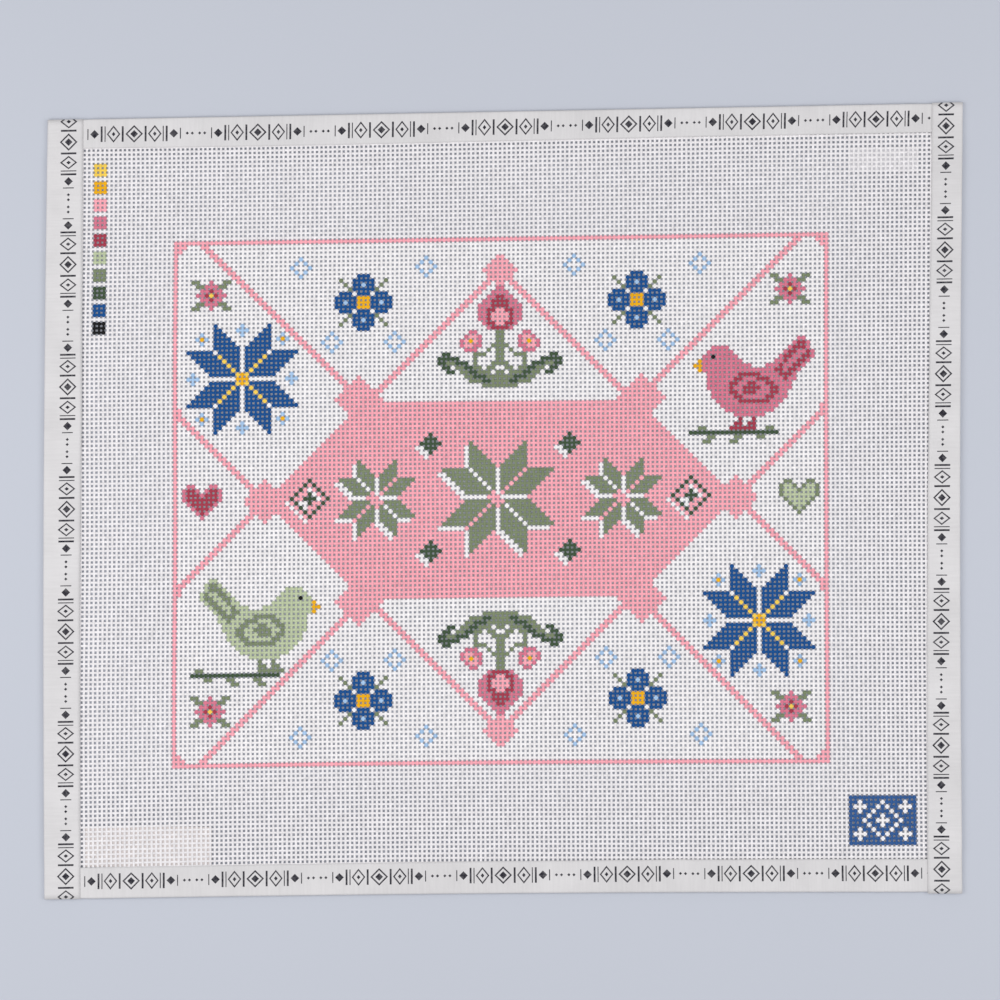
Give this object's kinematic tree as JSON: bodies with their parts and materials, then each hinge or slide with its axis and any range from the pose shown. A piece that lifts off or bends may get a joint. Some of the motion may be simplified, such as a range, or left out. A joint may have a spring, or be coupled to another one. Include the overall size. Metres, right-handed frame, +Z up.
{
  "type": "needlepoint canvas panel",
  "caption": "Flat rectangular panel of open plain-weave needlepoint canvas with a painted stitch chart, its raw edges bound in folded cotton tape.",
  "frame": {"origin": "middle of the panel's bounding box, on the surface that it lies on", "axes": "+X along the bottom edge to the right, +Y up the design, +Z up from the surface"},
  "size_m": [0.4012, 0.348, 0.0049],
  "materials": {
    "mesh_cotton": "sized cotton mesh, painted thread by thread",
    "tape_cotton": "matt plain-weave cotton tape, printed",
    "white_paper": "matt paper",
    "cream_paper": "matt paper"
  },
  "bodies": {
    "root": {"canvas": "mesh_cotton", "binding_top": "tape_cotton", "binding_bottom": "tape_cotton", "binding_left": "tape_cotton", "binding_right": "tape_cotton", "label_upper": "white_paper", "label_lower": "cream_paper"}
  },
  "joints": []
}
